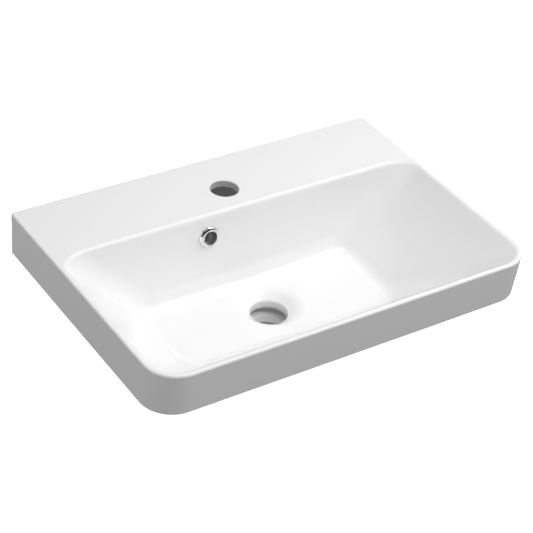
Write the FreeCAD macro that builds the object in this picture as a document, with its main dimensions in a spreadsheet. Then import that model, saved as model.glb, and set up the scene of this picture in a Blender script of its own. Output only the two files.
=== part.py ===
"""Ceramic washbasin with one tap hole, an integral overflow and a chromed overflow ring.

The frame: +X to the right of someone who stands at the basin, -Y towards them, +Z up. The origin
lies on the wall face, midway between the two wall fixings. All lengths are in millimetres.

The basin is built as it is cast. Each mould form is a body of its own: the outer block, the hollow
below the deck, the bowl and the clay shell round it, the overflow duct and the waste. In every
form the rim is the plane Z = 0 and the wall face is the plane Y = 0, so depths are measured down
from the rim and distances forward from the wall. Both finished pieces stand higher by the
fixings' depth below the rim, so that the wall fixings lie at Z = 0.
"""

import FreeCAD, Part
import math
import os

import Sketcher
from FreeCAD import Placement, Rotation, Vector

SIZES = (
    ("basin_width", 506.0, "overall width over the apron's sides"),
    ("basin_depth", 352.0, "overall depth, wall face to front face"),
    ("apron_height", 57.0, "height of the apron, rim to foot"),
    ("front_lean", 5.0, "how far the front face draws in at its foot"),
    ("side_lean", 0.6, "how far each side face draws in at its foot"),
    ("front_corner_radius", 39.0, "rounding of the front corners"),
    ("back_corner_radius", 6.0, "rounding of the back corners"),
    ("rim_edge_radius", 2.5, "rounding of the rim's outer edge"),
    ("foot_edge_radius", 2.5, "rounding of the foot's outer edge"),
    ("apron_wall", 12.0, "thickness of the apron at its foot"),
    ("apron_draft", 2.5, "how much thicker the apron is at the deck"),
    ("deck_thickness", 9.0, "thickness of the tap deck"),
    ("hollow_corner_radius", 15.0, "back corner radius of the hollow below the deck"),
    ("hollow_root_radius", 8.0, "fillet where the apron meets the deck"),
    ("ledge_depth", 107.7, "wall face to the bowl's back wall, at the rim"),
    ("side_rim", 6.2, "side face to the bowl's side wall, at the rim"),
    ("front_rim", 6.2, "front face to the bowl's front wall, at the rim"),
    ("bowl_depth", 97.0, "rim down to the ends of the floor"),
    ("back_fall", 13.8, "how far the back wall runs forward over the bowl's depth"),
    ("side_fall", 98.4, "how far a side wall runs inward over the bowl's depth"),
    ("floor_run", 125.5, "back wall's foot to the front wall's foot, both taken sharp"),
    ("bowl_corner_reach", 28.55, "how far the rounding of a bowl's front corner reaches along it"),
    ("bowl_back_radius", 28.0, "rounding between the bowl's back and side walls"),
    ("bowl_root_radius", 24.5, "rounding between the bowl's walls and floor"),
    ("rim_land", 0.84, "flat left on the rim between its outer and its inner rounding"),
    ("bowl_wall", 9.0, "thickness of the bowl's walls and floor"),
    ("waste_offset", 2.25, "how far the waste's axis lies behind the middle of the floor"),
    ("dish_depth", 9.0, "middle of the floor down to the mouth of the waste bore"),
    ("waste_radius", 23.0, "radius of the waste bore"),
    ("waste_bevel", 1.0, "bevel of that bore's mouth"),
    ("dish_crown_radius", 22.0, "rounding of the dish into the floor"),
    ("waste_lip", 9.0, "thickness of the clay over the overflow chamber"),
    ("chamber_radius", 36.0, "radius of the overflow chamber round the waste"),
    ("chamber_height", 14.0, "height of that chamber at the bore"),
    ("chamber_rise", 8.0, "how much higher the chamber's roof lies at its wall"),
    ("waste_base", 9.0, "thickness of the clay under the chamber"),
    ("boss_wall", 8.0, "thickness of the boss round the chamber"),
    ("overflow_offset", 47.0, "centre plane to the overflow's axis, on the left"),
    ("overflow_run", 29.0, "rim down the back wall to the overflow's axis"),
    ("overflow_radius", 11.5, "radius of the overflow hole in the clay"),
    ("duct_radius", 16.0, "half the width of the overflow duct"),
    ("duct_gap", 12.0, "clear depth of the overflow duct"),
    ("duct_wall", 6.5, "thickness of the clay round the duct"),
    ("duct_stop", 46.0, "waste's axis to the centre of the duct's round end"),
    ("tap_radius", 17.5, "radius of the tap hole"),
    ("tap_bevel", 1.0, "bevel of the tap hole's mouth"),
    ("fixing_spacing", 280.0, "distance between the wall fixing holes"),
    ("fixing_drop", 33.0, "rim down to the wall fixing holes"),
    ("fixing_radius", 8.0, "radius of a wall fixing hole"),
    ("fixing_pad_radius", 19.0, "radius of the thick pad round such a hole"),
    ("fixing_pad_height", 6.0, "how far that pad stands inside the apron"),
    ("ring_flange_radius", 14.5, "outer radius of the overflow ring"),
    ("ring_flange_edge", 0.8, "thickness of its flange at the outside"),
    ("ring_height", 4.2, "how far the ring stands proud of the bowl"),
    ("ring_shoulder_radius", 13.0, "radius where the flange's face turns from steep to shallow"),
    ("ring_shoulder_height", 2.9, "how far that shoulder stands proud of the bowl"),
    ("ring_mouth_radius", 9.2, "radius of the ring's mouth"),
    ("ring_lip_width", 1.3, "width of the lip round the mouth"),
    ("ring_sleeve_wall", 1.2, "thickness of the ring's sleeve and fingers"),
    ("ring_clearance", 0.3, "gap between the ring and the clay it passes"),
    ("ring_finger_reach", 4.0, "how far the fingers pass behind the clay"),
    ("ring_barb", 1.0, "how far a finger's barb stands out"),
    ("ring_barb_land", 0.6, "thickness of the barb at its edge"),
    ("ring_slot_width", 5.0, "width of the slots between the fingers"),
    ("ring_collar", 2.5, "length of the sleeve left whole above the slots"),
    ("overrun", 5.0, "how far a form runs past the clay that it cuts"),
)

# The slope of the dish round the waste, in degrees.
DISH_SLOPE = 35.0

# Where the tap hole's axis lies, as a share of the ledge's depth from the wall.
TAP_SHARE = 0.6193

# How much lower the floor's middle lies than its ends, as a share of half the floor's width.
FALL_SHARE = 0.02695

# Depths and places that several forms share, as expressions on the sizes.
TILT = "atan({back_fall} / {bowl_depth})"
FLOOR_FALL = "(({basin_width} / 2 - {side_rim} - {side_fall}) * %s)" % FALL_SHARE
FLOOR_DEPTH = "({bowl_depth} + %s)" % FLOOR_FALL
SHELL_DEPTH = "(%s + {bowl_wall})" % FLOOR_DEPTH
DUCT_BOTTOM = "(%s + {duct_gap})" % SHELL_DEPTH
FRONT_FALL = "({basin_depth} - {ledge_depth} - {front_rim} - {back_fall} - {floor_run})"
FRONT_SLOPE = "atan({bowl_depth} / %s)" % FRONT_FALL
SIDE_SLOPE = "atan({bowl_depth} / {side_fall})"
CORNER_TURN = "(cos(%s) * cos(%s))" % (FRONT_SLOPE, SIDE_SLOPE)
CORNER_RADIUS = "({bowl_corner_reach} * sqrt((1 + %s) / (1 - %s)))" % (CORNER_TURN, CORNER_TURN)
LIP_ROOM = "({%s_rim} - {rim_edge_radius} - {rim_land})"
LIP_RADIUS = "min(%s / tan(%s / 2); %s / tan(%s / 2))" % (
    LIP_ROOM % "front", FRONT_SLOPE, LIP_ROOM % "side", SIDE_SLOPE)
WASTE_MOUTH = "(%s + {dish_depth})" % FLOOR_DEPTH
CHAMBER_BOTTOM = "(%s + {waste_lip} + {chamber_height})" % WASTE_MOUTH
BOSS_BOTTOM = "(%s + {waste_lip} + {chamber_height} + {waste_base})" % WASTE_MOUTH
WASTE_PLACE = "({ledge_depth} + {back_fall} + {floor_run} / 2 - {waste_offset})"
WASTE_AXIS = ("0", "-" + WASTE_PLACE)
RISER_TOP = ("-{overflow_offset}", "-{overflow_run}")
RISER_FOOT = ("-{overflow_offset}", "-" + FLOOR_DEPTH)
DUCT_PLACE = "({ledge_depth} + {back_fall} - {bowl_wall} - {duct_gap} / 2)"
DUCT_CORNER = ("-{overflow_offset}", "-" + DUCT_PLACE)
DUCT_RUN = "(%s - %s)" % (WASTE_PLACE, DUCT_PLACE)
STOP_SHARE = "({duct_stop} / sqrt({overflow_offset}^2 + %s^2))" % DUCT_RUN
DUCT_END = ("-{overflow_offset} * " + STOP_SHARE,
            "%s * %s - %s" % (DUCT_RUN, STOP_SHARE, WASTE_PLACE))


def open_sheet(doc):
    """Write the driving sizes into the document's sheet, a row for each, under its own name."""
    sheet = doc.addObject("Spreadsheet::Sheet", "sizes")
    for row, (name, value, meaning) in enumerate(SIZES, start=1):
        sheet.set("A%d" % row, meaning)
        sheet.set("B%d" % row, str(value))
        sheet.setAlias("B%d" % row, name)
    doc.recompute()
    return sheet


def bound(words):
    """Point each name in braces at its cell of the sheet."""
    return words.replace("{", "sizes.").replace("}", "")


def number(doc, words):
    """Work out an expression on the sizes as a plain number."""
    result = doc.sizes.evalExpression(bound(words))
    return float(getattr(result, "Value", result))


def new_body(doc, name):
    """Start a body."""
    body = doc.addObject("PartDesign::Body", name)
    body.Label = name
    return body


def plane_sketch(body, name, role, offset="0"):
    """Start a sketch on one of the body's own origin planes, moved along that plane's normal."""
    sketch = body.newObject("Sketcher::SketchObject", name)
    plane = [feature for feature in body.Origin.OriginFeatures if feature.Role == role]
    sketch.AttachmentSupport = [(plane[0], "")]
    sketch.MapMode = "FlatFace"
    sketch.setExpression("AttachmentOffset.Base.z", bound(offset))
    return sketch


def level_sketch(body, name, depth):
    """Start a sketch on the level plane at a depth below the rim."""
    return plane_sketch(body, name, "XY_Plane", "-(%s)" % depth)


def wall_sketch(body, name, behind):
    """Start a sketch parallel to the bowl's back wall, a distance behind its wet face.

    The sketch's X axis lies along the wall, its Y axis runs up it, and its normal points forward
    into the bowl. Its origin is below the line where the wet face would meet the rim sharp.
    """
    sketch = plane_sketch(body, name, "XZ_Plane")
    # Only the axis counts here: the sheet sets the angle.
    sketch.AttachmentOffset = Placement(Vector(), Rotation(Vector(-1, 0, 0), 1))
    sketch.setExpression("AttachmentOffset.Rotation.Angle", bound(TILT))
    sketch.setExpression("AttachmentOffset.Base.y", bound("-(%s) * sin(%s)" % (behind, TILT)))
    sketch.setExpression("AttachmentOffset.Base.z",
                         bound("{ledge_depth} - (%s) * cos(%s)" % (behind, TILT)))
    return sketch


def bind(sketch, kind, where, words):
    """Add a dimension to a sketch and bind it to the sheet; one that is zero lies on an axis."""
    if words == "0":
        axis = -2 if kind == "DistanceX" else -1
        sketch.addConstraint(Sketcher.Constraint("PointOnObject", where[2], where[3], axis))
        return
    value = number(sketch.Document, words)
    index = sketch.addConstraint(Sketcher.Constraint(kind, *where, value))
    sketch.setExpression("Constraints[%d]" % index, bound(words))


def place(sketch, piece, end, where):
    """Bind an end or centre of a sketch's piece to a pair of expressions."""
    bind(sketch, "DistanceX", (-1, 1, piece, end), where[0])
    bind(sketch, "DistanceY", (-1, 1, piece, end), where[1])


def point(doc, where):
    """Work out a pair of expressions as a point of a sketch."""
    return Vector(number(doc, where[0]), number(doc, where[1]), 0)


def join_ends(sketch, pieces):
    """Join each piece's end to the next one's start, tangent to it, all the way round."""
    for first, second in zip(pieces, pieces[1:] + pieces[:1]):
        sketch.addConstraint(Sketcher.Constraint("Tangent", first, 2, second, 1))


def trace(sketch, corners):
    """Draw a closed profile with straight sides through corners given as pairs of expressions."""
    points = [point(sketch.Document, corner) for corner in corners]
    pieces = [sketch.addGeometry(Part.LineSegment(start, end))
              for start, end in zip(points, points[1:] + points[:1])]
    for first, second in zip(pieces, pieces[1:] + pieces[:1]):
        sketch.addConstraint(Sketcher.Constraint("Coincident", first, 2, second, 1))
    for piece, corner in zip(pieces, corners):
        place(sketch, piece, 1, corner)
    return sketch


def slot_outline(sketch, start, end, radius):
    """Draw a slot with round ends about two centres given as pairs of expressions."""
    doc = sketch.Document
    near = point(doc, start)
    far = point(doc, end)
    half = number(doc, radius)
    along = (far - near).normalize()
    side = Vector(-along.y, along.x, 0)
    turned = math.atan2(side.y, side.x)
    up = Vector(0, 0, 1)
    first = sketch.addGeometry(
        Part.ArcOfCircle(Part.Circle(near, up, half), turned, turned + math.pi))
    under = sketch.addGeometry(Part.LineSegment(near - side * half, far - side * half))
    second = sketch.addGeometry(
        Part.ArcOfCircle(Part.Circle(far, up, half), turned + math.pi, turned + 2 * math.pi))
    over = sketch.addGeometry(Part.LineSegment(far + side * half, near + side * half))
    join_ends(sketch, [first, under, second, over])
    sketch.addConstraint(Sketcher.Constraint("Equal", first, second))
    bind(sketch, "Radius", (first,), radius)
    place(sketch, first, 3, start)
    place(sketch, second, 3, end)
    return sketch


def circle_outline(sketch, centre, radius):
    """Draw a circle about a centre given as a pair of expressions."""
    doc = sketch.Document
    circle = Part.Circle(point(doc, centre), Vector(0, 0, 1), number(doc, radius))
    piece = sketch.addGeometry(circle)
    bind(sketch, "Radius", (piece,), radius)
    place(sketch, piece, 3, centre)
    return sketch


def extrude(body, kind, name, sketch, length, backward=False):
    """Pad or pocket a sketch by a length that is an expression."""
    feature = body.newObject("PartDesign::" + kind, name)
    feature.Profile = sketch
    feature.setExpression("Length", bound(length))
    feature.Reversed = backward
    body.Document.recompute()
    return feature


def turn(body, name, sketch):
    """Revolve a sketch all the way round its own upright axis."""
    feature = body.newObject("PartDesign::Revolution", name)
    feature.Profile = sketch
    feature.ReferenceAxis = (sketch, ["V_Axis"])
    body.Document.recompute()
    return feature


def round_edges(body, name, radius, chosen):
    """Round every edge of the body that the test picks by the edge's bounding box."""
    base = body.Tip
    names = ["Edge%d" % (index + 1) for index, edge in enumerate(base.Shape.Edges)
             if chosen(edge.BoundBox)]
    if not names:
        raise RuntimeError("no edges for " + name)
    feature = body.newObject("PartDesign::Fillet", name)
    feature.Base = (base, names)
    feature.setExpression("Radius", bound(radius))
    body.Document.recompute()
    return feature


def combine(doc, kind, name, base, tool):
    """Cut one solid from another, fuse the two, or keep what they share."""
    feature = doc.addObject("Part::" + kind, name)
    feature.Base = base
    feature.Tool = tool
    feature.Refine = True
    doc.recompute()
    return feature


def make_form(doc, name, top, foot, faces, fall=None):
    """A form with sloped planes for its sides, its back and its front, between two depths.

    faces holds three functions of a depth: half the form's width there, and where its back and its
    front lie. With a fall, the foot is two planes that meet that much deeper in the middle.
    """
    half_width, back_at, front_at = faces
    body = new_body(doc, name)
    profile = plane_sketch(body, name + "_sides", "XZ_Plane", "-{overrun}")
    middle = [("0", "-(%s + %s)" % (foot, fall))] if fall else []
    trace(profile, [("-" + half_width(top), "-" + top), ("-" + half_width(foot), "-" + foot)]
          + middle + [(half_width(foot), "-" + foot), (half_width(top), "-" + top)])
    extrude(body, "Pad", name + "_block", profile, "{basin_depth} + 2 * {overrun}")

    above = "(%s - {overrun})" % top
    below = "(%s + %s + {overrun})" % (foot, fall or "0")
    beside = "-({basin_width} / 2 + {overrun} + {bowl_depth})"
    for end, face, outside in (("back", back_at, "2 * {overrun}"),
                               ("front", front_at, "-({basin_depth} + 2 * {overrun})")):
        cheek = plane_sketch(body, "%s_%s" % (name, end), "YZ_Plane", beside)
        trace(cheek, [(face(above), "-" + above), (outside, "-" + above),
                      (outside, "-" + below), (face(below), "-" + below)])
        extrude(body, "Pocket", "%s_%s_cut" % (name, end), cheek,
                "{basin_width} + 2 * ({overrun} + {bowl_depth})", backward=True)
    return body


def round_corners(body, front_radius, back_radius):
    """Round a form's upright corners: those in its front half, then those in its back half."""
    whole = body.Tip.Shape.BoundBox
    tall = whole.ZLength / 2
    middle = -number(body.Document, "{basin_depth}") / 2
    round_edges(body, body.Name + "_front_corners", front_radius,
                lambda box: box.ZLength > tall and box.YMin < middle)
    round_edges(body, body.Name + "_back_corners", back_radius,
                lambda box: box.ZLength > tall and box.YMin > middle)


def make_outer_block(doc):
    """The block that the rim and the apron's outside belong to, drawn in towards its foot."""
    share = "(%s) / {apron_height}"
    body = make_form(doc, "outer_block", "0", "{apron_height}", (
        lambda depth: "({basin_width} / 2 - {side_lean} * %s)" % (share % depth),
        lambda depth: "0",
        lambda depth: "(-{basin_depth} + {front_lean} * %s)" % (share % depth)))
    round_corners(body, "{front_corner_radius}", "{back_corner_radius}")
    half_way = -number(doc, "{apron_height}") / 2
    round_edges(body, "rim_edge", "{rim_edge_radius}", lambda box: box.ZMin > half_way)
    round_edges(body, "foot_edge", "{foot_edge_radius}", lambda box: box.ZMax < half_way)
    return body


def make_hollow(doc):
    """What the mould leaves empty between the apron's walls, up to the underside of the deck."""
    share = "(%s) / {apron_height}"

    def wall(depth):
        return "({apron_wall} + {apron_draft} * (1 - %s))" % (share % depth)

    body = make_form(doc, "hollow", "{deck_thickness}", "({apron_height} + {overrun})", (
        lambda depth: "({basin_width} / 2 - {side_lean} * %s - %s)" % (share % depth, wall(depth)),
        lambda depth: "(-%s)" % wall(depth),
        lambda depth: "(-{basin_depth} + {front_lean} * %s + %s)" % (share % depth, wall(depth))))
    round_corners(body, "{front_corner_radius} - {apron_wall}", "{hollow_corner_radius}")
    half_way = -number(doc, "{apron_height}") / 2
    round_edges(body, "hollow_root", "{hollow_root_radius}", lambda box: box.ZMin > half_way)
    return body


def make_bowl_form(doc, name, wall):
    """The bowl's form, or the same form a wall's thickness larger on every side.

    Four sloped planes stand round a floor whose two halves fall towards its middle. The edges
    between the walls are rounded first, and the walls' feet then run into the floor.
    """
    def beyond(fall):
        return "%s * sqrt(1 + (%s / {bowl_depth})^2)" % (wall, fall)

    foot = "({bowl_depth} + %s)" % wall
    share = "(%s) / {bowl_depth}"
    body = make_form(doc, name, "(-{overrun})", foot, (
        lambda depth: "({basin_width} / 2 - {side_rim} - {side_fall} * %s + %s)" % (
            share % depth, beyond("{side_fall}")),
        lambda depth: "(-{ledge_depth} - {back_fall} * %s + %s)" % (
            share % depth, beyond("{back_fall}")),
        lambda depth: "(-{basin_depth} + {front_rim} + %s * %s - %s)" % (
            FRONT_FALL, share % depth, beyond(FRONT_FALL))), FLOOR_FALL)
    round_corners(body, CORNER_RADIUS + " + " + wall, "{bowl_back_radius} + " + wall)
    near_floor = -number(doc, "%s - %s / 2" % (foot, FLOOR_FALL))
    middle = number(doc, "{waste_radius}")
    round_edges(body, name + "_root", "{bowl_root_radius} + " + wall,
                lambda box: box.ZMax < near_floor and not (-middle < box.XMin and box.XMax < middle))
    return body


def make_wet_form(doc):
    """What the bowl leaves empty: the bowl's own form, and a dish round the waste."""
    body = make_bowl_form(doc, "wet_form", "0")
    rim = "({bowl_depth} - {overrun})"
    sketch = plane_sketch(body, "dish_profile", "XZ_Plane", WASTE_PLACE)
    trace(sketch, [("0", "-" + rim), ("0", "-" + WASTE_MOUTH), ("{waste_radius}", "-" + WASTE_MOUTH),
                   ("{waste_radius} + (%s - %s) / tan(%s)" % (WASTE_MOUTH, rim, DISH_SLOPE),
                    "-" + rim)])
    turn(body, "dish", sketch)
    near_floor = -number(doc, "%s - %s / 2" % (FLOOR_DEPTH, FLOOR_FALL))
    near_bore = -number(doc, FLOOR_DEPTH + " + {dish_depth} / 2")
    across = number(doc, "{waste_radius}")
    round_edges(body, "dish_crown", "{dish_crown_radius}",
                lambda box: box.ZMin > near_bore and box.ZMax < near_floor and box.XLength > across)
    return body


def make_duct_form(doc, name, front, back, radius, roof, floor, end):
    """A form for the overflow duct: an upright part behind the back wall and a level part below.

    front and back are measured behind the back wall's wet face, roof and floor from the rim. The
    level part runs from the upright part's foot to the end centre.
    """
    body = new_body(doc, name)
    upright = slot_outline(wall_sketch(body, name + "_upright", front),
                           RISER_TOP, RISER_FOOT, radius)
    extrude(body, "Pad", name + "_riser", upright, "%s - %s" % (back, front), backward=True)
    level = slot_outline(level_sketch(body, name + "_level", roof), DUCT_CORNER, end, radius)
    extrude(body, "Pad", name + "_floor", level, "%s - %s" % (floor, roof), backward=True)
    return body


def make_waste_clay(doc):
    """The overflow duct's clay, and the boss below the floor that holds chamber and bore."""
    body = make_duct_form(
        doc, "waste_clay", "{bowl_wall} / 2",
        "({bowl_wall} + {duct_gap} + {duct_wall})", "({duct_radius} + {duct_wall})",
        "{bowl_depth}", "(%s + {duct_wall})" % DUCT_BOTTOM, WASTE_AXIS)
    top = "(%s - {bowl_wall} / 2)" % SHELL_DEPTH
    boss = circle_outline(level_sketch(body, "boss_outline", top), WASTE_AXIS,
                          "{chamber_radius} + {boss_wall}")
    extrude(body, "Pad", "boss", boss, "%s - %s" % (BOSS_BOTTOM, top), backward=True)
    return body


def make_overflow_way(doc):
    """The empty duct, with the round hole that opens it to the bowl."""
    body = make_duct_form(
        doc, "overflow_way", "{bowl_wall}", "({bowl_wall} + {duct_gap})", "{duct_radius}",
        SHELL_DEPTH, DUCT_BOTTOM, DUCT_END)
    hole = circle_outline(wall_sketch(body, "overflow_outline", "(-{overrun})"),
                          RISER_TOP, "{overflow_radius}")
    extrude(body, "Pad", "overflow_hole", hole, "{overrun} + {bowl_wall} + {duct_gap} / 2",
            backward=True)
    return body


def make_waste_way(doc):
    """What is empty below the dish: the waste bore and the overflow chamber round it."""
    body = new_body(doc, "waste_way")
    sketch = plane_sketch(body, "waste_profile", "XZ_Plane", WASTE_PLACE)
    mouth = "({waste_radius} + {waste_bevel} * cos(%s))" % DISH_SLOPE
    under_lip = "(%s + {waste_lip})" % WASTE_MOUTH
    bottom = "(%s + {overrun})" % BOSS_BOTTOM
    trace(sketch,
          [("0", "-" + FLOOR_DEPTH),
           ("0", "-" + bottom),
           ("{waste_radius}", "-" + bottom),
           ("{waste_radius}", "-" + CHAMBER_BOTTOM),
           ("{chamber_radius}", "-" + CHAMBER_BOTTOM),
           ("{chamber_radius}", "-(%s - {chamber_rise})" % under_lip),
           ("{waste_radius}", "-" + under_lip),
           ("{waste_radius}", "-(%s + {waste_bevel})" % WASTE_MOUTH),
           (mouth, "-(%s - {waste_bevel} * sin(%s))" % (WASTE_MOUTH, DISH_SLOPE)),
           (mouth, "-" + FLOOR_DEPTH)])
    turn(body, "waste_turned", sketch)
    return body


def make_tap_way(doc):
    """The tap hole through the deck, with its mouth bevelled."""
    body = new_body(doc, "tap_way")
    sketch = plane_sketch(body, "tap_profile", "XZ_Plane", "{ledge_depth} * %s" % TAP_SHARE)
    mouth = "({tap_radius} + {tap_bevel})"
    low = "-({deck_thickness} + {overrun})"
    trace(sketch,
          [("0", "{overrun}"), ("0", low), ("{tap_radius}", low),
           ("{tap_radius}", "-{tap_bevel}"), (mouth, "0"), (mouth, "{overrun}")])
    turn(body, "tap_turned", sketch)
    return body


def make_fixing_form(doc, name, behind, reach, radius):
    """A pair of short cylinders on the wall fixings' axes, from one distance to another."""
    body = new_body(doc, name)
    sketch = plane_sketch(body, name + "_outline", "XZ_Plane", behind)
    for side in ("-", ""):
        circle_outline(sketch, ("%s{fixing_spacing} / 2" % side, "-{fixing_drop}"), radius)
    extrude(body, "Pad", name + "_pair", sketch, "%s - %s" % (reach, behind))
    return body


def make_basin(doc):
    """The basin: one casting, from the rim to the boss round the waste."""
    shell = make_bowl_form(doc, "shell_form", "{bowl_wall}")
    casting = combine(doc, "Cut", "apron_and_deck", make_outer_block(doc),
                      combine(doc, "Cut", "space_below", make_hollow(doc), shell))

    below = doc.addObject("Part::Box", "below_the_deck")
    for side, words in (("Length", "{basin_width}"), ("Width", "{basin_depth}"),
                        ("Height", BOSS_BOTTOM + " - {apron_height} / 2"),
                        ("Placement.Base.x", "-{basin_width} / 2"),
                        ("Placement.Base.y", "-{basin_depth}"),
                        ("Placement.Base.z", "-" + BOSS_BOTTOM)):
        below.setExpression(side, bound(words))
    doc.recompute()

    pads = make_fixing_form(doc, "fixing_pads", "{apron_wall} / 2",
                            "({apron_wall} + {apron_draft} + {fixing_pad_height})",
                            "{fixing_pad_radius}")
    holes = make_fixing_form(doc, "fixing_holes", "(-{overrun})",
                             "({apron_wall} + {apron_draft} + {fixing_pad_height} + {overrun})",
                             "{fixing_radius}")
    for name, clay in (("with_bowl", combine(doc, "Common", "low_shell", shell, below)),
                       ("with_boss", make_waste_clay(doc)),
                       ("with_pads", pads)):
        casting = combine(doc, "Fuse", name, casting, clay)
    for name, empty in (("with_wet_faces", make_wet_form(doc)),
                        ("with_duct", make_overflow_way(doc)),
                        ("with_waste", make_waste_way(doc)),
                        ("with_tap_hole", make_tap_way(doc)),
                        ("with_fixings", holes)):
        casting = combine(doc, "Cut", name, casting, empty)

    basin = new_body(doc, "ceramic_basin")
    basin.BaseFeature = casting
    basin.setExpression("Placement.Base.z", bound("{fixing_drop}"))
    doc.recompute()
    margin = number(doc, "{rim_edge_radius}") / 2
    side = number(doc, "{basin_width} / 2 - {side_rim}") + margin
    back = -number(doc, "{ledge_depth}") + margin
    front = -number(doc, "{basin_depth} - {front_rim}") - margin
    round_edges(basin, "bowl_lip", LIP_RADIUS,
                lambda box: box.ZMin > -margin and -side < box.XMin and box.XMax < side
                and front < box.YMin and box.YMax < back)
    return basin


def make_ring(doc):
    """The overflow ring: a raised flange, a short sleeve and fingers that snap behind the clay."""
    ring = new_body(doc, "overflow_ring")
    sleeve = "({overflow_radius} - {ring_clearance})"
    inside = "(%s - {ring_sleeve_wall})" % sleeve
    barb = "(%s + {ring_barb})" % sleeve
    lip = "({ring_mouth_radius} + {ring_lip_width})"
    behind = "({bowl_wall} + {ring_clearance})"
    tip = "({bowl_wall} + {ring_finger_reach})"
    profile = plane_sketch(ring, "ring_profile", "XZ_Plane")
    trace(profile,
          [(inside, "{ring_flange_edge}"), (inside, "-" + tip), (sleeve, "-" + tip),
           (barb, "-(%s + {ring_barb_land})" % behind), (barb, "-" + behind),
           (sleeve, "-" + behind), (sleeve, "0"),
           ("{ring_flange_radius}", "0"), ("{ring_flange_radius}", "{ring_flange_edge}"),
           ("{ring_shoulder_radius}", "{ring_shoulder_height}"), (lip, "{ring_height}"),
           ("{ring_mouth_radius}", "{ring_height}"),
           ("{ring_mouth_radius}", "{ring_flange_edge}")])
    turn(ring, "ring_turned", profile)
    for name, role in (("slot_across", "XZ_Plane"), ("slot_along", "YZ_Plane")):
        sketch = plane_sketch(ring, name + "_outline", role, "-" + barb)
        wide = "{ring_slot_width} / 2"
        trace(sketch, [("-" + wide, "-{ring_collar}"), ("-" + wide, "-(%s + {overrun})" % tip),
                       (wide, "-(%s + {overrun})" % tip), (wide, "-{ring_collar}")])
        extrude(ring, "Pocket", name, sketch, "2 * " + barb, backward=True)
    # Only the axis counts here: the sheet sets the angle.
    ring.Placement = Placement(Vector(), Rotation(Vector(1, 0, 0), 1))
    for part, words in (
            ("Base.x", "-{overflow_offset}"),
            ("Base.y", "-({ledge_depth} + {overflow_run} * sin(%s))" % TILT),
            ("Base.z", "{fixing_drop} - {overflow_run} * cos(%s)" % TILT),
            ("Rotation.Angle", "atan({bowl_depth} / {back_fall})")):
        ring.setExpression("Placement." + part, bound(words))
    doc.recompute()
    return ring


def check(doc, pieces):
    """Stop before anything is written when an object failed or a piece is not a sound solid."""
    doc.recompute()
    for thing in doc.Objects:
        if "Invalid" in thing.State or "Error" in thing.State:
            raise RuntimeError("%s failed: %s" % (thing.Name, thing.State))
    for piece in pieces:
        shape = piece.Shape
        if shape.isNull() or not shape.isValid() or len(shape.Solids) != 1:
            raise RuntimeError("%s is not one sound solid" % piece.Label)


def main():
    """Build both pieces and write a file for each."""
    doc = FreeCAD.newDocument("washbasin")
    open_sheet(doc)
    pieces = [make_basin(doc), make_ring(doc)]
    check(doc, pieces)
    os.makedirs("parts", exist_ok=True)
    for piece in pieces:
        piece.Shape.exportStep("parts/%s.step" % piece.Label)


main()
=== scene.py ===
"""Looks of a glazed washbasin: its finishes, its overflow ring, the studio and the camera.

Everything is in metres in the part's own frame: +X to the right of someone who stands at the
basin, -Y towards them, +Z up. The wall is the plane Y = 0 and the rim is the plane Z = 0.033.
Only fields whose names end in mm, and the sizes of the ring, are in millimetres.
"""

import logging
import math
from dataclasses import dataclass
from enum import Enum

import bpy
import numpy as np
from mathutils import Matrix, Vector


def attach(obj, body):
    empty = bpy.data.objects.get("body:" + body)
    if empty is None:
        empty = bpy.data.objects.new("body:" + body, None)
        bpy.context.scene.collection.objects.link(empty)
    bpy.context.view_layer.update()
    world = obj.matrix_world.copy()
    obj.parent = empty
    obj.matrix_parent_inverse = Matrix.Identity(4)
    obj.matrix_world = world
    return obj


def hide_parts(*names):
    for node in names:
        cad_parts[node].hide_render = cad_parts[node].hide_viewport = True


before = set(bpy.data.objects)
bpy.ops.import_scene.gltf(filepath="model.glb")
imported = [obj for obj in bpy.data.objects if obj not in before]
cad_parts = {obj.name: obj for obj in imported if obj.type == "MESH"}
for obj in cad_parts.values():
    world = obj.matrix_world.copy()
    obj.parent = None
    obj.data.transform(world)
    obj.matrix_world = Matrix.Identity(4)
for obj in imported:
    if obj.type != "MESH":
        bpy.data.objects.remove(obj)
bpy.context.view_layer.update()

LOG = logging.getLogger("washbasin")
MM = 0.001
BODY = "root"
WHITE = "#FFFFFF"


class Node(Enum):
    """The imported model's nodes."""

    BASIN = "ceramic_basin"
    RING = "overflow_ring"


class Slot(Enum):
    """The record's material slots."""

    GLAZE = "glaze"
    PLATING = "ring_plating"


def linear(code: str) -> tuple[float, float, float, float]:
    """Turn an sRGB hex colour into linear light.

    Args:
        code: six hex digits after a hash sign.

    Returns:
        Red, green and blue in linear light, and an alpha of one.
    """
    parts = [int(code[i:i + 2], 16) / 255 for i in (1, 3, 5)]
    red, green, blue = (p / 12.92 if p <= 0.04045 else ((p + 0.055) / 1.055) ** 2.4 for p in parts)
    return red, green, blue, 1.0


def add_node(tree: bpy.types.NodeTree, kind: str, inputs: dict | None = None,
             **settings: object) -> bpy.types.Node:
    """Add a node to a tree with its settings and links.

    Args:
        tree: the node tree.
        kind: the node's type.
        inputs: for a socket's name or place, either a value or the output that feeds it.
        **settings: the node's own properties.

    Returns:
        The new node.
    """
    node = tree.nodes.new(kind)
    for name, value in settings.items():
        setattr(node, name, value)
    for key, value in (inputs or {}).items():
        if isinstance(value, bpy.types.NodeSocket):
            tree.links.new(value, node.inputs[key])
        else:
            node.inputs[key].default_value = value
    return node


def new_material(name: str) -> tuple[bpy.types.Material, bpy.types.NodeTree, bpy.types.Node]:
    """Start a material whose tree holds only its output.

    Args:
        name: the material's name.

    Returns:
        The material, its node tree and the output node.
    """
    material = bpy.data.materials.new(name)
    material.use_nodes = True
    tree = material.node_tree
    tree.nodes.clear()
    return material, tree, tree.nodes.new("ShaderNodeOutputMaterial")


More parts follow.
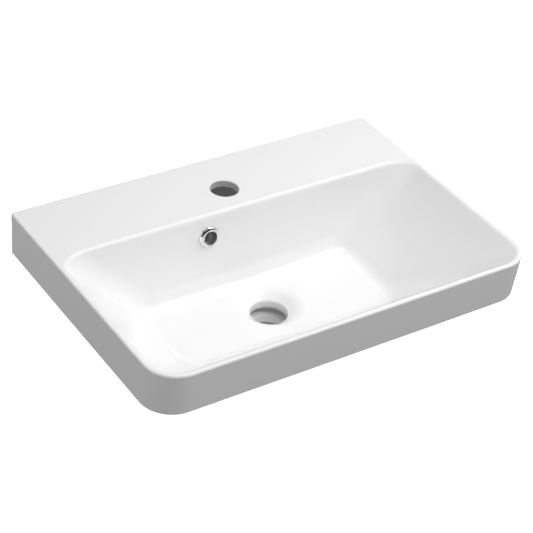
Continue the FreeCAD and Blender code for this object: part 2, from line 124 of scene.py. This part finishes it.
@dataclass(frozen=True)
class GlazedChina:
    """Vitreous china under a clear, poured and fired glaze.

    The clay body scatters light and looks chalk white, and the glaze over it is a smooth glass
    skin: its reflections are sharp, and bend a little where the glaze pooled and drew back.
    Where the casting is ground, punched or stood in the kiln, the bare clay is matt and duller; in
    the bore of the tap hole its darker grey is also painted shade.
    """

    body: str = "#F7F7F7"
    body_roughness: float = 0.55
    glaze_ior: float = 1.52
    glaze_roughness: float = 0.035
    ripple_mm: float = 22.0
    ripple_height_mm: float = 0.012
    peel_mm: float = 2.2
    peel_height_mm: float = 0.0012
    # Grey of the bare clay; in the tap hole's bore it is also painted shade.
    bare_clay_and_bore_shade: str = "#D0D0D0"
    clay_roughness: float = 0.85
    grain_mm: float = 0.8
    grain_height_mm: float = 0.05
    grain_strength: float = 0.6
    foot_band: tuple[float, float] = (-0.0245, -0.0235)
    foot_normal: float = -0.9
    boss_foot: float = -0.1088
    wall_face: float = -0.00015
    tap_axis: tuple[float, float] = (0.0, -0.0667)
    tap_bore: float = 0.0177

    def build(self) -> bpy.types.Material:
        """Build the material on Object coordinates."""
        material, tree, output = new_material("glazed_vitreous_china")
        place = add_node(tree, "ShaderNodeTexCoord").outputs["Object"]
        ripple = add_node(tree, "ShaderNodeTexNoise", {
            "Vector": place, "Scale": 1 / (self.ripple_mm * MM), "Detail": 1.0})
        peel = add_node(tree, "ShaderNodeTexNoise", {
            "Vector": place, "Scale": 1 / (self.peel_mm * MM), "Detail": 2.0})
        waves = add_node(tree, "ShaderNodeBump", {
            "Height": ripple.outputs["Fac"], "Distance": self.ripple_height_mm * MM,
            "Strength": 1.0})
        skin = add_node(tree, "ShaderNodeBump", {
            "Height": peel.outputs["Fac"], "Distance": self.peel_height_mm * MM, "Strength": 1.0,
            "Normal": waves.outputs["Normal"]})
        glazed = add_node(tree, "ShaderNodeBsdfPrincipled", {
            "Base Color": linear(self.body), "Roughness": self.body_roughness,
            "Specular IOR Level": 0.0, "Coat Weight": 1.0,
            "Coat Roughness": self.glaze_roughness, "Coat IOR": self.glaze_ior,
            "Coat Normal": skin.outputs["Normal"]})
        grain = add_node(tree, "ShaderNodeTexNoise", {
            "Vector": place, "Scale": 1 / (self.grain_mm * MM), "Detail": 4.0})
        rough = add_node(tree, "ShaderNodeBump", {
            "Height": grain.outputs["Fac"], "Distance": self.grain_height_mm * MM,
            "Strength": self.grain_strength})
        # Bare clay, whose grey in the tap hole's bore is also painted shade.
        clay = add_node(tree, "ShaderNodeBsdfPrincipled", {
            "Base Color": linear(self.bare_clay_and_bore_shade), "Roughness": self.clay_roughness,
            "Normal": rough.outputs["Normal"]})
        bare = self.bare_clay_and_shaded_bore(tree)
        mix = add_node(tree, "ShaderNodeMixShader", {
            0: bare, 1: glazed.outputs[0], 2: clay.outputs[0]})
        tree.links.new(mix.outputs[0], output.inputs["Surface"])
        return material

    def bare_clay_and_shaded_bore(self, tree: bpy.types.NodeTree) -> bpy.types.NodeSocket:
        """Find where no glaze lies: the wall face, both feet and the bore of the tap hole, where
        the darker clay also paints the shade inside the hole.

        Args:
            tree: the material's node tree.

        Returns:
            An output that is one on bare clay and zero on glaze.
        """
        coords = add_node(tree, "ShaderNodeTexCoord")
        spot = add_node(tree, "ShaderNodeSeparateXYZ", {"Vector": coords.outputs["Object"]})
        facing = add_node(tree, "ShaderNodeSeparateXYZ", {"Vector": coords.outputs["Normal"]})

        def combine(kind: str, first: bpy.types.NodeSocket,
                    second: bpy.types.NodeSocket | float) -> bpy.types.NodeSocket:
            """Compare a value with a limit, or join two tests."""
            return add_node(tree, "ShaderNodeMath", {0: first, 1: second},
                            operation=kind).outputs[0]

        low, high = self.foot_band
        in_band = combine("MULTIPLY", combine("GREATER_THAN", spot.outputs["Z"], low),
                          combine("LESS_THAN", spot.outputs["Z"], high))
        faces_down = combine("LESS_THAN", facing.outputs["Z"], self.foot_normal)
        foot = combine("MULTIPLY", in_band, faces_down)
        at_wall = combine("GREATER_THAN", spot.outputs["Y"], self.wall_face)
        boss = combine("LESS_THAN", spot.outputs["Z"], self.boss_foot)
        level = add_node(tree, "ShaderNodeVectorMath", {
            0: coords.outputs["Object"], 1: (1.0, 1.0, 0.0)}, operation="MULTIPLY")
        # The tap hole's bore: bare clay, and its darker grey is also painted shade in the hole.
        from_tap = add_node(tree, "ShaderNodeVectorMath", {
            0: level.outputs["Vector"], 1: (*self.tap_axis, 0.0)}, operation="DISTANCE")
        tap = combine("LESS_THAN", from_tap.outputs["Value"], self.tap_bore)
        return combine("MAXIMUM", combine("MAXIMUM", foot, at_wall), combine("MAXIMUM", boss, tap))


@dataclass(frozen=True)
class ChromePlate:
    """Bright chrome plated over a moulded ring.

    Plating gives a mirror with a cold tint. The moulding under it is not quite true, so what
    the mirror shows wavers slightly.
    """

    tint: str = "#ECEDEE"
    roughness: float = 0.07
    waver_mm: float = 3.0
    waver_height_mm: float = 0.01

    def build(self) -> bpy.types.Material:
        """Build the material on Object coordinates."""
        material, tree, output = new_material("bright_chrome_plate")
        place = add_node(tree, "ShaderNodeTexCoord").outputs["Object"]
        waver = add_node(tree, "ShaderNodeTexNoise", {
            "Vector": place, "Scale": 1 / (self.waver_mm * MM), "Detail": 1.0})
        bump = add_node(tree, "ShaderNodeBump", {
            "Height": waver.outputs["Fac"], "Distance": self.waver_height_mm * MM, "Strength": 1.0})
        plate = add_node(tree, "ShaderNodeBsdfPrincipled", {
            "Base Color": linear(self.tint), "Metallic": 1.0, "Roughness": self.roughness,
            "Normal": bump.outputs["Normal"]})
        tree.links.new(plate.outputs[0], output.inputs["Surface"])
        return material


def arc(centre: tuple[float, float], radius: float, first: float, last: float,
        count: int) -> np.ndarray:
    """Points on an arc: the centre plus the radius along each angle.

    Args:
        centre: the arc's centre.
        radius: its radius.
        first: the first angle in degrees.
        last: the last angle in degrees.
        count: how many points.

    Returns:
        An array of count points.
    """
    turn = np.radians(np.linspace(first, last, count))
    return np.column_stack((centre[0] + radius * np.cos(turn), centre[1] + radius * np.sin(turn)))


def loop_faces(around: int, along: int, closed: bool) -> np.ndarray:
    """Quads between neighbouring rings of points.

    Args:
        around: points in each ring, whose last joins its first.
        along: how many rings.
        closed: whether the last ring joins the first one.

    Returns:
        Four indices a quad, for points stored ring after ring.
    """
    rings = along if closed else along - 1
    i, j = np.meshgrid(np.arange(rings), np.arange(around), indexing="ij")
    ahead = (i + 1) % along
    beside = (j + 1) % around
    return np.stack((i * around + j, i * around + beside,
                     ahead * around + beside, ahead * around + j), axis=-1).reshape(-1, 4)


def mesh_object(name: str, parts: list[tuple[np.ndarray, list]], sharp: float = 40.0,
                ) -> bpy.types.Object:
    """Join point arrays and their faces into one object at the origin.

    Args:
        name: the object's name.
        parts: for each part its points in metres and its faces as lists of indices.
        sharp: edges that turn by more degrees than this stay sharp in the shading.

    Returns:
        The object, linked to the scene.
    """
    faces: list = []
    start = 0
    for points, quads in parts:
        faces += [[start + index for index in quad] for quad in quads]
        start += len(points)
    mesh = bpy.data.meshes.new(name)
    mesh.from_pydata(np.vstack([points for points, _ in parts]).tolist(), [], faces)
    mesh.shade_smooth()
    mesh.set_sharp_from_angle(angle=math.radians(sharp))
    mesh.validate()
    piece = bpy.data.objects.new(name, mesh)
    bpy.context.scene.collection.objects.link(piece)
    return piece


@dataclass
class OverflowRing:
    """The chromed ring that snaps into the overflow hole in the bowl's back wall.

    Lengths are in millimetres. Heights run along the ring's own axis, out of the wall.
    """

    centre: tuple[float, float, float] = (-47.0, -111.78, 4.29)
    tilt: float = math.atan2(13.8, 97.0)
    flange: float = 13.9
    flange_bevel: float = 0.15
    edge: float = 0.8
    height: float = 4.2
    dome: float = 4.6
    dome_steps: int = 12
    mouth: float = 8.6
    lip: float = 1.2
    lip_sink: float = 0.1
    lip_steps: int = 9
    sleeve_outer: float = 11.2
    sleeve_inner: float = 10.0
    collar: float = -2.5
    tip: float = -13.0
    barb: float = 12.2
    barb_top: float = -9.3
    barb_foot: float = -9.9
    fingers: int = 4
    finger_half_turn: float = 31.5
    finger_root: float = 0.5
    finger_steps: int = 14
    around: int = 128

    def place(self, profile: np.ndarray, turns: np.ndarray) -> np.ndarray:
        """Turn a profile about the ring's axis.

        A point is the centre, plus its radius along the turned direction across the axis, plus
        its height along the axis.

        Args:
            profile: radius and height of each profile point.
            turns: the angles in radians.

        Returns:
            Points in metres, all turns of the first profile point first.
        """
        out = np.array([0.0, -math.cos(self.tilt), math.sin(self.tilt)])
        across = np.array([1.0, 0.0, 0.0])
        up = np.cross(out, across)
        spoke = np.cos(turns)[:, None] * across + np.sin(turns)[:, None] * up
        points = (np.array(self.centre) + profile[:, 0, None, None] * spoke[None]
                  + profile[:, 1, None, None] * out)
        return points.reshape(-1, 3) * MM

    def dome_profile(self) -> np.ndarray:
        """The flange and collar in section: a closed loop, anticlockwise."""
        shoulder = np.array([self.flange, self.edge])
        crest = np.array([self.mouth + self.lip, self.height])
        chord = crest - shoulder
        half = np.hypot(*chord) / 2
        left = np.array([-chord[1], chord[0]]) / np.hypot(*chord)
        hub = (shoulder + crest) / 2 + left * math.sqrt(self.dome ** 2 - half ** 2)
        first = math.degrees(math.atan2(*(shoulder - hub)[::-1]))
        last = math.degrees(math.atan2(*(crest - hub)[::-1]))
        return np.vstack((
            [[self.sleeve_inner, self.collar], [self.sleeve_outer, self.collar],
             [self.sleeve_outer, 0.0], [self.flange - self.flange_bevel, 0.0],
             [self.flange, self.flange_bevel]],
            arc(tuple(hub), self.dome, first, last, self.dome_steps),
            arc((self.mouth + self.lip / 2, self.height - self.lip_sink), self.lip / 2,
                30, 180, self.lip_steps),
            [[self.mouth, self.edge], [self.sleeve_inner, 0.0]]))

    def build(self) -> bpy.types.Object:
        """Build the ring: the revolved flange and collar, and the fingers below them."""
        turns = np.linspace(0, 2 * math.pi, self.around, endpoint=False)
        profile = self.dome_profile()
        parts = [(self.place(profile, turns),
                  loop_faces(self.around, len(profile), True).tolist())]
        parts += [self.build_finger(index) for index in range(self.fingers)]
        return mesh_object("overflow_ring_plated", parts)

    def build_finger(self, index: int) -> tuple[np.ndarray, list]:
        """Sweep a finger's section round the axis and close both ends.

        Args:
            index: which finger, counted anticlockwise.

        Returns:
            Its points and its faces.
        """
        root = self.collar + self.finger_root
        section = np.array([
            [self.sleeve_inner, root], [self.sleeve_inner, self.tip],
            [self.sleeve_outer, self.tip], [self.barb, self.barb_foot],
            [self.barb, self.barb_top], [self.sleeve_outer, self.barb_top],
            [self.sleeve_outer, root]])
        corners, count = len(section), self.finger_steps
        middle = 2 * math.pi * (index + 0.5) / self.fingers
        reach = math.radians(self.finger_half_turn)
        points = self.place(section, np.linspace(middle - reach, middle + reach, count))
        grid = points.reshape(corners, count, 3).transpose(1, 0, 2).reshape(-1, 3)
        first_end = list(range(corners))[::-1]
        last_end = [(count - 1) * corners + i for i in range(corners)]
        return grid, loop_faces(corners, count, False).tolist() + [first_end, last_end]

    def dress(self, piece: bpy.types.Object, finish: bpy.types.Material) -> None:
        """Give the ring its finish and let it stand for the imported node.

        Args:
            piece: the ring.
            finish: its material.
        """
        piece.data.materials.append(finish)
        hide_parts(Node.RING.value)
        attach(piece, BODY)


@dataclass
class CeramicBasin:
    """The casting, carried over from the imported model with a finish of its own."""

    node: Node = Node.BASIN

    def dress(self, finish: bpy.types.Material) -> bpy.types.Object:
        """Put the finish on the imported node.

        Args:
            finish: its material.

        Returns:
            The node's object.
        """
        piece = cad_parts[self.node.value]
        for slot in piece.material_slots:
            slot.material = finish
        return piece


@dataclass
class SoftBox:
    """A flat white studio light, wide enough for soft shadows. The power is in watts."""

    name: str
    place: tuple[float, float, float]
    aim: tuple[float, float, float]
    width: float
    height: float
    power: float
    mirrored: bool = True

    def build(self) -> bpy.types.Object:
        """Hang the light and turn it to its aim."""
        lamp = bpy.data.lights.new(self.name, "AREA")
        lamp.shape = "RECTANGLE"
        lamp.size = self.width
        lamp.size_y = self.height
        lamp.energy = self.power
        lamp.color = linear(WHITE)[:3]
        light = bpy.data.objects.new(self.name, lamp)
        light.location = self.place
        way = Vector(self.aim) - Vector(self.place)
        light.rotation_euler = way.to_track_quat("-Z", "Y").to_euler()
        light.visible_glossy = self.mirrored
        bpy.context.scene.collection.objects.link(light)
        return light


@dataclass
class Glow:
    """A soft bright patch in the studio's air, far away, that fades out round its middle.

    It is full inside the inner angle and gone outside the outer one, both in degrees.
    """

    toward: tuple[float, float, float]
    strength: float
    outer: float
    inner: float

    def strength_at(self, tree: bpy.types.NodeTree,
                    way: bpy.types.NodeSocket) -> bpy.types.NodeSocket:
        """Work out the patch's strength from the angle between a direction and its middle.

        Args:
            tree: the air's node tree.
            way: the direction.

        Returns:
            The output that holds the strength.
        """
        nearness = add_node(tree, "ShaderNodeVectorMath", {0: way, 1: self.toward},
                            operation="DOT_PRODUCT")
        return add_node(tree, "ShaderNodeMapRange", {
            "Value": nearness.outputs["Value"], "From Min": math.cos(math.radians(self.outer)),
            "From Max": math.cos(math.radians(self.inner)), "To Min": 0.0,
            "To Max": self.strength}, interpolation_type="SMOOTHSTEP").outputs["Result"]


@dataclass
class Studio:
    """The pale floor, the light and the air round the basin."""

    aim: tuple[float, float, float] = (0.0, -0.2, 0.0)
    floor_z: float = -0.1095
    floor_reach: float = 60.0
    floor_colour: str = "#F4F4F4"
    floor_glow: float = 1.0
    floor_roughness: float = 0.9
    floor_sheen: float = 0.1
    # Height of the flag and the painted shade cards; the core and the cover set how far and how
    # dark the painted shade reaches.
    card_z: float = -0.1092
    shade_core: float = 0.72
    shade_cover: float = 0.88
    flag_box: tuple[float, float, float, float] = (-0.17, 0.23, -0.125, 0.12)
    # Colour of the unseen black felt flag, and of the painted shade cards.
    flag_felt_and_painted_shade_colour: str = "#1E1E1E"
    air_above: float = 0.06
    air_below: float = 0.35
    air_blend: float = 0.05

    def build(self) -> None:
        """Lay the floor and its cards, light the air and hang the soft boxes."""
        self.lay_floor()
        # Painted shade: dark cards that only the camera sees, under the waste boss and behind the
        # tap hole, stand for the shade seen through these holes.
        self.lay_shade("boss_shade", (0.0, -0.182), (0.04, 0.04))
        self.lay_shade("tap_shade", (0.12, 0.091), (0.023, 0.015))
        self.lay_flag()
        self.light_air(Glow((0.709, 0.41, 0.574), 0.84, 35.0, 12.0))
        for box in (
                SoftBox("overhead_box", (-0.2, -0.3, 1.6), self.aim, 1.2, 1.4, 2.5),
                SoftBox("lip_box", (0.85, -0.45, 1.55), self.aim, 0.9, 1.1, 11.9),
                SoftBox("left_box", (-1.6, 0.3, 0.8), self.aim, 1.4, 1.0, 6.1),
                SoftBox("right_box", (1.7, -0.3, 0.7), self.aim, 1.8, 1.2, 3.7),
                SoftBox("front_box", (0.1, -1.3, 1.8), self.aim, 1.4, 0.7, 18.9,
                        mirrored=False)):
            box.build()

    def lay_card(self, name: str, sides: tuple[float, float, float, float], height: float,
                 material: bpy.types.Material, camera_only: bool) -> bpy.types.Object:
        """Lay a level card.

        Args:
            name: the card's name.
            sides: its left, right, front and back.
            height: its height.
            material: what it is made of.
            camera_only: whether it is seen but takes no part in the light on the basin.

        Returns:
            The card.
        """
        left, right, front, back = sides
        corners = np.array([[left, front, height], [right, front, height],
                            [right, back, height], [left, back, height]])
        card = mesh_object(name, [(corners, [[0, 1, 2, 3]])])
        card.data.materials.append(material)
        if camera_only:
            card.visible_diffuse = False
            card.visible_glossy = False
            card.visible_shadow = False
        return card

    def lay_floor(self) -> None:
        """Lay the pale floor: the camera sees it, and the basin takes no light from it."""
        material, tree, output = new_material("matt_studio_board")
        board = add_node(tree, "ShaderNodeBsdfPrincipled", {
            "Base Color": linear(self.floor_colour), "Roughness": self.floor_roughness,
            "Specular IOR Level": self.floor_sheen, "Emission Color": linear(WHITE),
            "Emission Strength": self.floor_glow})
        tree.links.new(board.outputs[0], output.inputs["Surface"])
        reach = self.floor_reach
        self.lay_card("studio_floor", (-reach, reach, -reach, reach), self.floor_z, material,
                      camera_only=True)

    def lay_shade(self, name: str, middle: tuple[float, float],
                  half: tuple[float, float]) -> None:
        """Lay a painted shade on the floor where a line of sight through a hole ends: a dark card
        that only the camera sees stands for the shade there.

        Its cover falls smoothly to none as the distance from its middle, in half sides, grows
        to one.

        Args:
            name: the shade's name.
            middle: where its middle lies.
            half: half its length and half its width.
        """
        material, tree, output = new_material("painted_floor_shade")
        place = add_node(tree, "ShaderNodeTexCoord").outputs["Object"]
        offset = add_node(tree, "ShaderNodeVectorMath", {0: place, 1: (*middle, self.card_z)},
                          operation="SUBTRACT")
        share = add_node(tree, "ShaderNodeVectorMath", {
            0: offset.outputs["Vector"], 1: (*half, 1.0)}, operation="DIVIDE")
        reach = add_node(tree, "ShaderNodeVectorMath", {0: share.outputs["Vector"]},
                         operation="LENGTH")
        cover = add_node(tree, "ShaderNodeMapRange", {
            "Value": reach.outputs["Value"], "From Min": 1.0, "From Max": self.shade_core,
            "To Min": 0.0, "To Max": self.shade_cover}, interpolation_type="SMOOTHSTEP")
        # Painted shade: the dark card's colour stands for the floor's shade.
        dark_diffuse = add_node(tree, "ShaderNodeBsdfDiffuse", {"Color": linear(self.flag_felt_and_painted_shade_colour)})
        clear = add_node(tree, "ShaderNodeBsdfTransparent")
        mix = add_node(tree, "ShaderNodeMixShader", {
            0: cover.outputs["Result"], 1: clear.outputs[0], 2: dark_diffuse.outputs[0]})
        tree.links.new(mix.outputs[0], output.inputs["Surface"])
        sides = (middle[0] - half[0], middle[0] + half[0],
                 middle[1] - half[1], middle[1] + half[1])
        self.lay_card(name, sides, self.card_z, material, camera_only=True)

    def lay_flag(self) -> None:
        """Lay a black flag, unseen itself, that keeps light from below out of the hollow."""
        material, tree, output = new_material("black_felt_flag")
        dark_diffuse = add_node(tree, "ShaderNodeBsdfDiffuse", {"Color": linear(self.flag_felt_and_painted_shade_colour)})
        tree.links.new(dark_diffuse.outputs[0], output.inputs["Surface"])
        flag = self.lay_card("hollow_flag", self.flag_box, self.card_z, material,
                             camera_only=False)
        flag.visible_camera = False

    def light_air(self, glow: Glow) -> None:
        """Light the air: weak above the level of the basin, stronger below it, with a soft glow.

        Args:
            glow: the bright patch.
        """
        world = bpy.data.worlds.new("studio_air")
        world.use_nodes = True
        tree = world.node_tree
        tree.nodes.clear()
        way = add_node(tree, "ShaderNodeTexCoord").outputs["Generated"]
        height = add_node(tree, "ShaderNodeSeparateXYZ", {"Vector": way})
        even = add_node(tree, "ShaderNodeMapRange", {
            "Value": height.outputs["Z"], "From Min": -self.air_blend,
            "From Max": self.air_blend, "To Min": self.air_below, "To Max": self.air_above},
            interpolation_type="SMOOTHSTEP").outputs["Result"]
        total = add_node(tree, "ShaderNodeMath", {0: even, 1: glow.strength_at(tree, way)},
                         operation="ADD").outputs[0]
        air = add_node(tree, "ShaderNodeBackground", {
            "Color": linear(WHITE), "Strength": total})
        add_node(tree, "ShaderNodeOutputWorld", {"Surface": air.outputs[0]})
        bpy.context.scene.world = world


@dataclass
class PhotoCamera:
    """The camera, solved from the basin's outline, in the part's frame and in metres."""

    azimuth: float = -36.16
    elevation: float = 35.68
    roll: float = 5.64
    lens: float = 115.94
    distance: float = 2.00307
    target: tuple[float, float, float] = (0.0, -0.2, 0.003)
    slide: tuple[float, float] = (-0.01879, 0.00002)

    def build(self) -> bpy.types.Object:
        """Place the camera and make it the scene's own."""
        az, el, roll = (math.radians(v) for v in (self.azimuth, self.elevation, self.roll))
        back = Vector((math.sin(az) * math.cos(el), -math.cos(az) * math.cos(el), math.sin(el)))
        right = (-back).cross(Vector((0, 0, 1))).normalized()
        up = right.cross(-back)
        tilted_right = right * math.cos(roll) + up * math.sin(roll)
        tilted_up = up * math.cos(roll) - right * math.sin(roll)
        place = (Vector(self.target) + tilted_right * self.slide[0] + tilted_up * self.slide[1]
                 + back * self.distance)
        data = bpy.data.cameras.new("photo_camera")
        data.lens = self.lens
        data.sensor_width = 36.0
        data.sensor_fit = "HORIZONTAL"
        data.clip_end = 200.0
        camera = bpy.data.objects.new("photo_camera", data)
        turned = Matrix((tilted_right, tilted_up, back)).transposed().to_4x4()
        camera.matrix_world = Matrix.Translation(place) @ turned
        bpy.context.scene.collection.objects.link(camera)
        bpy.context.scene.camera = camera
        return camera


def main() -> None:
    """Dress the casting, build the ring and set up the studio."""
    logging.basicConfig(level=logging.INFO, format="%(name)s: %(message)s")
    scene = bpy.context.scene
    scene.view_settings.view_transform = "Standard"
    PhotoCamera().build()
    basin = CeramicBasin().dress(GlazedChina().build())
    LOG.info("dressed %s", basin.name)
    ring = OverflowRing()
    piece = ring.build()
    ring.dress(piece, ChromePlate().build())
    LOG.info("built %s with %d faces", piece.name, len(piece.data.polygons))
    Studio().build()


if __name__ == "__main__":
    main()
